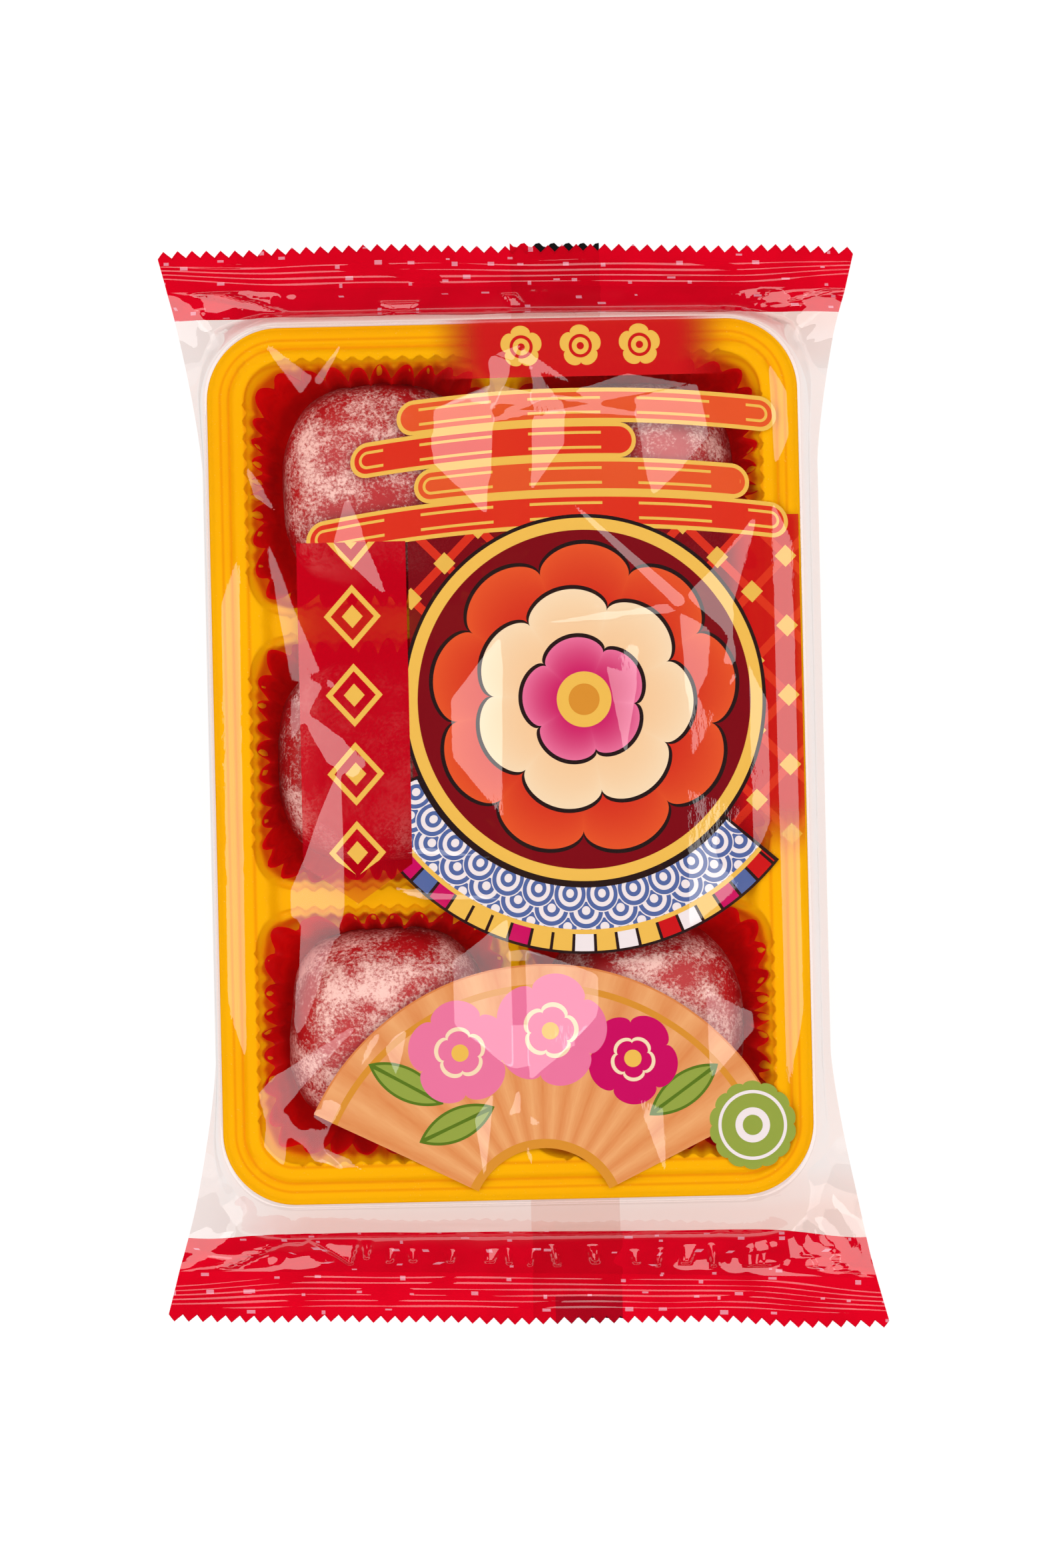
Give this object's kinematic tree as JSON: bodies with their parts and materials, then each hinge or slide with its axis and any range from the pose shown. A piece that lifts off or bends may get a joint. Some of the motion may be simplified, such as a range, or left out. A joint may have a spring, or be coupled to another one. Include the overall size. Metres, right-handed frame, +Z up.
{
  "type": "pack of glutinous rice balls",
  "caption": "Sealed clear film pack with crimped zigzag ends, drawn tight over a moulded tray of red glutinous rice balls in pleated cups.",
  "frame": {"origin": "centre of the bounding box, at its base: the point on the table under the pack's middle", "axes": "+Y along the pack, towards the end that the tray lies nearer to; +X across it, towards the side that the back fin is folded to; +Z up from the table"},
  "size_m": [0.1616, 0.241, 0.0304],
  "materials": {
    "film": "gloss",
    "tray": "satin",
    "cup": "satin",
    "rice_ball": "matte"
  },
  "bodies": {
    "root": {"sealed_pack": "film"}
  },
  "joints": []
}
